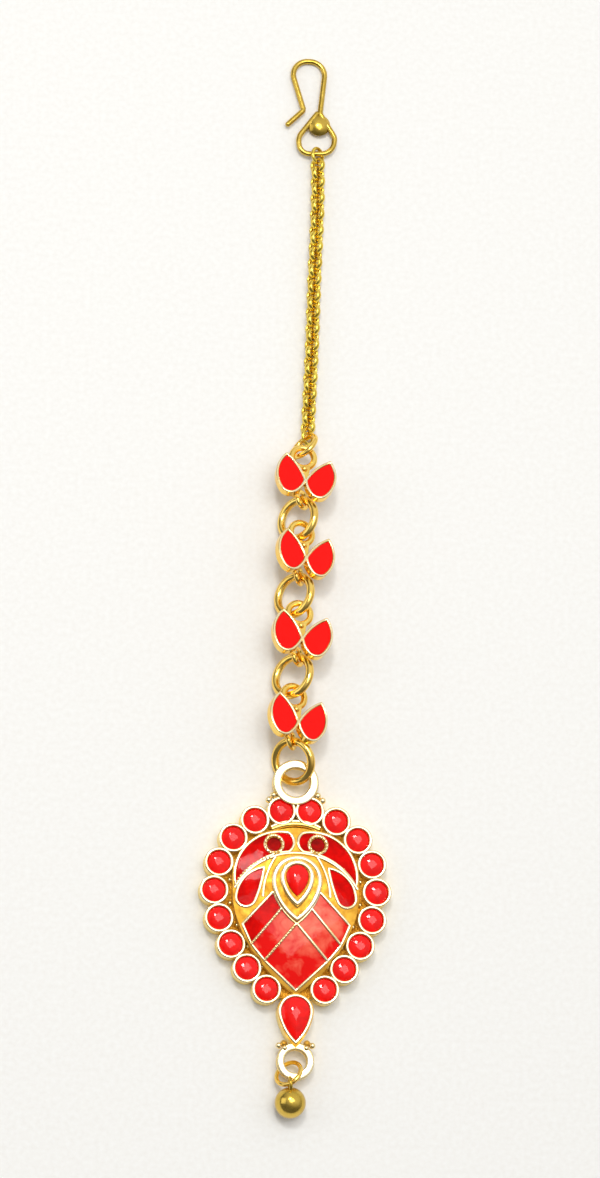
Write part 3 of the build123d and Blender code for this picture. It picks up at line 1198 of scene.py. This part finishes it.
    def drop_line(self, drop: Drop, steps: int = 40) -> list[Vector]:
        """Closed outline of a drop that points down.

        Args:
            drop: its sizes.
            steps: points on the round end, and on both sides together.

        Returns:
            The outline's points in metres.
        """
        y, radius, reach, height = drop
        shoulder = math.radians(self.drop_shoulder)
        points = []
        for n in range(steps + 1):
            angle = -shoulder + (math.pi + 2 * shoulder) * n / steps
            points.append((radius * math.cos(angle), radius * math.sin(angle)))
        start, tip = Vector(points[-1]), Vector((0.0, -reach))
        inward = -start.normalized()
        span = tip - start
        bend = span.length_squared / (2 * span.dot(inward))
        centre = start + inward * bend
        first = math.atan2(*(start - centre).yx)
        turn = (math.atan2(*(tip - centre).yx) - first) % math.tau
        half = steps // 2
        angles = (first + turn * n / half for n in range(1, half + 1))
        side = [centre + Vector((math.cos(angle), math.sin(angle))) * bend for angle in angles]
        points += [tuple(p) for p in side]
        points += [(-p.x, p.y) for p in reversed(side[:-1])]
        return [Vector((px, y + py, height)) * MM for px, py in points]

    def dress_enamel(self) -> None:
        """Gives each enamel piece its tone: painted shade where the field is sunk and turned away
        from the light and in the eyes, painted reflection in pale clouds on the crown.
        """
        for side in ("left", "right"):
            dress_node(f"eye_enamel_{side}", Finish.ENAMEL_EYE.material)
        for name in self.painted_shade_fields:
            dress_node(name, Finish.ENAMEL_PAINTED_SHADE.material)
        for name in self.painted_reflection_fields:
            dress_node(name, Finish.ENAMEL_PAINTED_REFLECTION.material)

    def domed_enamel(
        self, name: str, nodes: Sequence[str], height: float, drift: float = 0.0
    ) -> None:
        """Replaces pieces of enamel by smoother ones that swell in the middle.

        Args:
            name: the new piece's name.
            nodes: the CAD nodes it stands for.
            height: how far each middle stands over its edge, in millimetres.
            drift: how far each crown lies outward of its piece's middle, in millimetres.
        """
        work = bmesh.new()
        for node in nodes:
            edge = enamel_outline(node, 0.0, 0.0)
            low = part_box(node)[0][2]
            middle = sum(edge, Vector()) / len(edge)
            level = middle.z
            outward = middle - Vector((0.0, self.middle_y * MM, level))
            middle += outward.normalized() * drift * MM
            rows = [[work.verts.new((p.x, p.y, low)) for p in edge]]
            for step in range(self.dome_steps):
                reach = 1.0 - step / self.dome_steps
                lift = level + height * MM * (1.0 - reach**2)
                flat = [(middle + (p - middle) * reach).xy for p in edge]
                rows.append([work.verts.new((*spot, lift)) for spot in flat])
            crown = work.verts.new((middle.x, middle.y, level + height * MM))
            for outer, inner in zip(rows, rows[1:]):
                for n in range(len(edge)):
                    work.faces.new((outer[n - 1], outer[n], inner[n], inner[n - 1]))
            for n in range(len(edge)):
                work.faces.new((rows[-1][n - 1], rows[-1][n], crown))
            work.faces.new(list(reversed(rows[0])))
        bmesh.ops.recalc_face_normals(work, faces=work.faces)
        mesh = bpy.data.meshes.new(name)
        work.to_mesh(mesh)
        work.free()
        piece = mesh_object(name, mesh)
        shade_smooth(piece)
        mesh.set_sharp_from_angle(angle=SHARP_ANGLE)
        dress(piece, Finish.ENAMEL_DOMED.material)
        settle(piece, "red_enamel", *nodes)

    def raised_lines(self) -> None:
        """Rounds the rims of the cups and lays the raised lines round the motif's fields."""
        rims = [
            enamel_outline(node, self.cup_outward * MM, self.cup_rise * MM)
            for node in self.cup_nodes
        ]
        rims.append(enamel_outline("tail_enamel", self.cup_outward * MM, self.tail_rise * MM))
        lines = [
            enamel_outline(name, self.line_outward * MM, self.line_rise * MM)
            for name in (*self.painted_shade_fields, *self.painted_reflection_fields)
        ]
        stems = self.both_sides(self.arc(self.stem, self.line_rise))
        arch = [self.arc(self.arch, self.line_rise)]
        brow_edge = [self.arc(self.brow, self.brow_rise)]
        brow_band = [self.arc(self.brow_core, self.brow_core_rise)]
        hearts = [self.drop_line(self.heart), self.drop_line(self.crown)]
        # the rims and raised lines are painted near-white, as painted highlight
        lay_wire("cup_rims", rims, self.cup_wire, Finish.PAINTED_HIGHLIGHT)
        lay_wire("heart_rings", hearts, self.heart_wire, Finish.PAINTED_HIGHLIGHT)
        lay_wire("field_lines", lines, self.line_wire, Finish.PAINTED_HIGHLIGHT)
        lay_wire("stems", stems, self.line_wire, Finish.PAINTED_HIGHLIGHT, closed=False)
        lay_wire("arch", arch, self.line_wire, Finish.PAINTED_HIGHLIGHT, closed=False)
        lay_wire("brow_edge", brow_edge, self.line_wire, Finish.PAINTED_HIGHLIGHT, closed=False)
        lay_wire("brow_band", brow_band, self.brow_wire, Finish.CAST, closed=False)

    def faced_rings(self, steps: int = 64) -> None:
        """Lays a pale band on each flat ring, as its painted highlight.

        Args:
            steps: points round a ring.
        """
        for number, ring in enumerate(self.ring_faces, 1):
            angles = (math.tau * n / steps for n in range(steps))
            loop = [
                Vector(
                    (ring.radius * math.cos(a), ring.y + ring.radius * math.sin(a), ring.height)
                )
                * MM
                for a in angles
            ]
            face = Wire(ring.half_width, self.ring_face_height)
            lay_wire(f"flat_ring_face_{number}", [loop], face, Finish.PAINTED_HIGHLIGHT)

    def milgrain(self) -> None:
        """Beaded lines: seams of the bands, rings of the eyes, lower edge of one crescent."""
        runs = [self.straight(start, end) for start, end in self.seams]
        runs += self.both_sides(self.circle((-self.eye[0], self.eye[1]), self.eye_ring))
        runs.append(self.arc(self.crescent_edge, self.bead_rise))
        # the beads are painted near-white, as painted highlight
        beads = grown(
            polyline_object("milgrain_lines", runs),
            milgrain_tree(),
            {
                "Spacing": self.bead_spacing * MM,
                "Bead Radius": self.bead_radius * MM,
                "Material": Finish.PAINTED_HIGHLIGHT.material,
            },
        )
        settle(beads, "gold_plate")

    def soldered_granules(self) -> None:
        """Sets the granules beside both rings and in the nooks between the cups."""
        spots = [(Vector((x, y, z)) * MM, radius) for x, y, z, radius in self.granules]
        cups = []
        for node in self.cup_nodes:
            low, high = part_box(node)
            cups.append((Vector(low) + Vector(high)) / 2)
        middle = sum(cups, Vector()) / len(cups)
        for here, after in zip(cups, cups[1:]):
            between = (here + after) / 2
            inward = (middle - between).xy.normalized()
            spot = between + Vector((*inward, 0.0)) * self.nook_inward * MM
            spot.z = self.nook_z * MM
            if (after - here).length < self.nook_reach * MM:
                spots.append((spot, self.nook_granule))
        mesh = bpy.data.meshes.new("granules")
        mesh.from_pydata([spot for spot, _ in spots], [], [])
        sizes = mesh.attributes.new("grain_size", "FLOAT", "POINT")
        sizes.data.foreach_set("value", [radius for _, radius in spots])
        # the granules are painted near-white, as painted highlight
        grains = grown(
            mesh_object("granules", mesh),
            granule_tree(),
            {"Granule Radius": MM, "Material": Finish.PAINTED_HIGHLIGHT.material},
        )
        settle(grains, "gold_plate")

    def build(self) -> None:
        """Dresses the casting and its enamel and adds the fine trimmings."""
        dress_node("pendant", Finish.PLATE.material)
        self.dress_enamel()
        self.domed_enamel("cup_domes", self.cup_nodes, self.cup_swell, self.cup_drift)
        self.domed_enamel("drop_dome", ["drop_enamel"], self.drop_swell)
        self.domed_enamel("tail_dome", ["tail_enamel"], self.tail_swell)
        self.raised_lines()
        self.faced_rings()
        self.milgrain()
        self.soldered_granules()
        log.info("pendant dressed")


@dataclass
class BallDrop:
    """The ball that hangs from the pendant."""

    node: str = "ball_drop"

    def build(self) -> None:
        """Dresses the ball; its shape is the frame's own."""
        dress_node(self.node, Finish.WIRE.material)
        log.info("ball drop dressed")


# ------------------------------------------------------------------ studio
@dataclass(frozen=True)
class SoftLamp:
    """One rectangular lamp, aimed at the middle of the piece."""

    name: str
    towards: tuple[float, float, float]  # from the piece to the lamp
    distance: float
    width: float
    height: float
    radiance: float

    def build(self) -> None:
        """Places the lamp, with the power that gives its face the stated radiance."""
        data = bpy.data.lights.new(self.name, "AREA")
        data.shape = "RECTANGLE"
        data.size, data.size_y = self.width, self.height
        data.energy = self.radiance * math.pi * self.width * self.height
        lamp = bpy.data.objects.new(self.name, data)
        bpy.context.scene.collection.objects.link(lamp)
        way = Vector(self.towards).normalized()
        lamp.location = way * self.distance
        lamp.rotation_euler = way.to_track_quat("Z", "Y").to_euler()


@dataclass
class Studio:
    """Floor, lamps, surroundings and camera."""

    floor_half: float = 4.0
    look_at: tuple[float, float, float] = (0.0008, -0.00192, 0.0)
    camera_distance: float = 0.520
    camera_lean: tuple[float, float] = (7.0, 13.0)  # degrees towards -X and towards -Y
    sensor: float = 24.0
    lens: float = 83.37
    nearest: float = 0.01
    window: tuple[float, float, float] = (0.35, 0.55, 0.75)  # side from which the room is bright
    room: tuple[tuple[float, float], ...] = (  # how far a way faces the window, and its grey
        (0.0, 0.16),
        (0.3, 0.22),
        (0.62, 0.62),
        (0.9, 0.90),
    )
    lamps: tuple[SoftLamp, ...] = (
        SoftLamp(
            "overhead_softbox",
            (0.12, 0.10, 0.985),
            distance=0.55,
            width=0.26,
            height=0.28,
            radiance=3.8,
        ),
        SoftLamp(
            "fill_card",
            (-0.85, 0.10, 0.50),
            distance=0.6,
            width=0.40,
            height=0.40,
            radiance=1.1,
        ),
        SoftLamp(
            "spark_lamp",
            (-0.13, 0.30, 0.945),
            distance=0.5,
            width=0.075,
            height=0.075,
            radiance=34.0,
        ),
    )

    def floor(self) -> None:
        """Lays the card at the piece's lowest point."""
        mesh = bpy.data.meshes.new("floor")
        half = self.floor_half
        sides = ((-half, -half), (half, -half), (half, half), (-half, half))
        mesh.from_pydata([(x, y, CAD_BOX[0].z) for x, y in sides], [], [(0, 1, 2, 3)])
        floor = mesh_object("floor", mesh)
        dress(floor, CardFloor().material())

    def surroundings(self) -> None:
        """A plain room, brighter towards its window."""
        world = bpy.data.worlds.new("studio")
        world.use_nodes = True
        bpy.context.scene.world = world
        tree = world.node_tree
        tree.nodes.clear()
        way = add_node(tree, "ShaderNodeTexCoord").outputs["Generated"]
        facing = add_node(
            tree,
            "ShaderNodeVectorMath",
            {"operation": "DOT_PRODUCT"},
            {0: way, 1: Vector(self.window).normalized()},
        ).outputs["Value"]
        room = add_node(
            tree,
            "ShaderNodeValToRGB",
            sockets={"Fac": facing},
            stops=[(position, (grey, grey, grey, 1.0)) for position, grey in self.room],
        ).outputs["Color"]
        lit = add_node(tree, "ShaderNodeBackground", sockets={"Color": room, "Strength": 1.0})
        add_node(tree, "ShaderNodeOutputWorld", sockets={"Surface": lit.outputs["Background"]})

    def camera(self) -> None:
        """Sets the camera above the piece, leaning a little to its lower left."""
        data = bpy.data.cameras.new("camera")
        data.sensor_fit = "AUTO"
        data.sensor_width = self.sensor
        data.lens = self.lens
        data.clip_start = self.nearest
        camera = bpy.data.objects.new("camera", data)
        bpy.context.scene.collection.objects.link(camera)
        left, low = (math.tan(math.radians(a)) for a in self.camera_lean)
        way = Vector((-left, -low, 1.0)).normalized()
        up = (Vector((0, 1, 0)) - way * way.y).normalized()
        side = up.cross(way)
        camera.location = Vector(self.look_at) + way * self.camera_distance
        camera.rotation_mode = "QUATERNION"
        turn = Matrix((side, up, way)).transposed()
        camera.rotation_quaternion = turn.to_quaternion()
        bpy.context.scene.camera = camera

    def build(self) -> None:
        """Sets up the studio."""
        self.floor()
        self.surroundings()
        for lamp in self.lamps:
            lamp.build()
        self.camera()
        bpy.context.scene.view_settings.view_transform = "Standard"
        log.info("studio ready")


def main() -> None:
    """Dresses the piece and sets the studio."""
    logging.basicConfig(level=logging.INFO, format="%(name)s: %(message)s")
    Studio().build()
    HookAndEye().build()
    Chain().build()
    WireRings().build()
    ButterflyLinks().build()
    Pendant().build()
    BallDrop().build()


if __name__ == "__main__":
    main()
